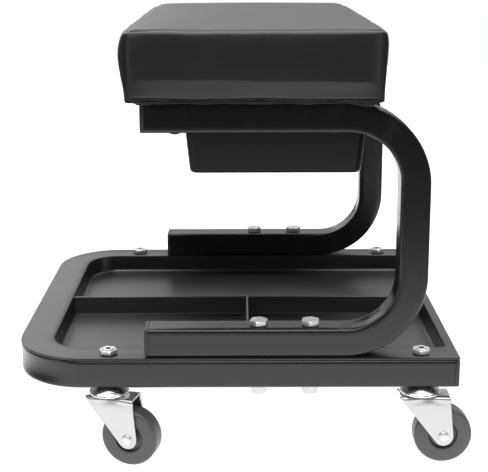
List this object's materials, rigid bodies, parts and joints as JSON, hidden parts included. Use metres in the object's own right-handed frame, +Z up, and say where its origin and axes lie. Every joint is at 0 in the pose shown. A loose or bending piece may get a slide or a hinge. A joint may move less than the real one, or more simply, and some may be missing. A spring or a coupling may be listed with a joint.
{
  "type": "creeper seat",
  "caption": "Low rolling work seat: padded box seat on two C-shaped tubes over a divided tool tray, with a drawer under the seat and swivel casters.",
  "frame": {"origin": "on the floor, at the middle of the whole seat's bounding box", "axes": "+X towards the open end of the base, along the rails; +Y across the seat; +Z up"},
  "size_m": [0.4016, 0.383, 0.3838],
  "materials": {
    "frame_paint": "semi-gloss black powder coat",
    "cap_plastic": "matt black moulding",
    "tray_plastic": "fine-textured black moulding",
    "drawer_plastic": "fine-textured black moulding",
    "zinc_plate": "bright zinc plate",
    "fork_zinc": "bright zinc plate, pressed",
    "cup_chrome": "polished",
    "ball_steel": "hardened steel",
    "wheel_rubber": "dark grey, smooth",
    "plywood": "birch plywood",
    "foam": "open-cell foam",
    "vinyl": "black vinyl, fine grain"
  },
  "bodies": {
    "chassis": {"base_frame": "frame_paint", "base_end_caps": "cap_plastic", "tool_tray": "tray_plastic", "seat_frame_front": "frame_paint", "seat_frame_rear": "frame_paint", "seat_frame_end_caps": "cap_plastic", "frame_bolts": "zinc_plate", "frame_lock_nuts": "zinc_plate", "seat_board": "plywood", "seat_foam": "foam", "seat_cover": "vinyl", "cover_staples": "zinc_plate", "seat_tee_nuts": "zinc_plate", "seat_bolts": "zinc_plate", "drawer_rail_front": "frame_paint", "drawer_rail_rear": "frame_paint", "drawer_rail_screws": "zinc_plate", "caster_stems": "zinc_plate", "caster_stem_nuts": "zinc_plate", "caster_top_cups": "cup_chrome", "swivel_balls": "ball_steel"},
    "drawer": {"drawer": "drawer_plastic"},
    "swivel_front_left": {"caster_fork_front_left": "fork_zinc", "caster_axle_front_left": "zinc_plate", "caster_bush_front_left": "ball_steel"},
    "wheel_front_left": {"caster_wheel_front_left": "wheel_rubber"},
    "swivel_front_right": {"caster_fork_front_right": "fork_zinc", "caster_axle_front_right": "zinc_plate", "caster_bush_front_right": "ball_steel"},
    "wheel_front_right": {"caster_wheel_front_right": "wheel_rubber"},
    "swivel_rear_left": {"caster_fork_rear_left": "fork_zinc", "caster_axle_rear_left": "zinc_plate", "caster_bush_rear_left": "ball_steel"},
    "wheel_rear_left": {"caster_wheel_rear_left": "wheel_rubber"},
    "swivel_rear_right": {"caster_fork_rear_right": "fork_zinc", "caster_axle_rear_right": "zinc_plate", "caster_bush_rear_right": "ball_steel"},
    "wheel_rear_right": {"caster_wheel_rear_right": "wheel_rubber"}
  },
  "joints": [
    {"name": "drawer_slide", "type": "slide", "parent": "chassis", "child": "drawer", "axis": [-1, 0, 0], "range_m": [0, 0.13]},
    {"name": "swivel_front_left", "type": "hinge", "parent": "chassis", "child": "swivel_front_left", "pos_m": [-0.1166, -0.1613, 0.0613], "axis": [0, 0, 1], "continuous": true},
    {"name": "spin_front_left", "type": "hinge", "parent": "swivel_front_left", "child": "wheel_front_left", "pos_m": [-0.09718, -0.16687, 0.0254], "axis": [0.2756, 0.9613, 0], "continuous": true},
    {"name": "swivel_front_right", "type": "hinge", "parent": "chassis", "child": "swivel_front_right", "pos_m": [0.1552, -0.1613, 0.0613], "axis": [0, 0, 1], "continuous": true},
    {"name": "spin_front_right", "type": "hinge", "parent": "swivel_front_right", "child": "wheel_front_right", "pos_m": [0.1754, -0.1613, 0.0254], "axis": [0, 1, 0], "continuous": true},
    {"name": "swivel_rear_left", "type": "hinge", "parent": "chassis", "child": "swivel_rear_left", "pos_m": [-0.1166, 0.1613, 0.0613], "axis": [0, 0, 1], "continuous": true},
    {"name": "spin_rear_left", "type": "hinge", "parent": "swivel_rear_left", "child": "wheel_rear_left", "pos_m": [-0.09684, 0.1655, 0.0254], "axis": [-0.2079, 0.9781, 0], "continuous": true},
    {"name": "swivel_rear_right", "type": "hinge", "parent": "chassis", "child": "swivel_rear_right", "pos_m": [0.1552, 0.1613, 0.0613], "axis": [0, 0, 1], "continuous": true},
    {"name": "spin_rear_right", "type": "hinge", "parent": "swivel_rear_right", "child": "wheel_rear_right", "pos_m": [0.1754, 0.1613, 0.0254], "axis": [0, 1, 0], "continuous": true}
  ]
}
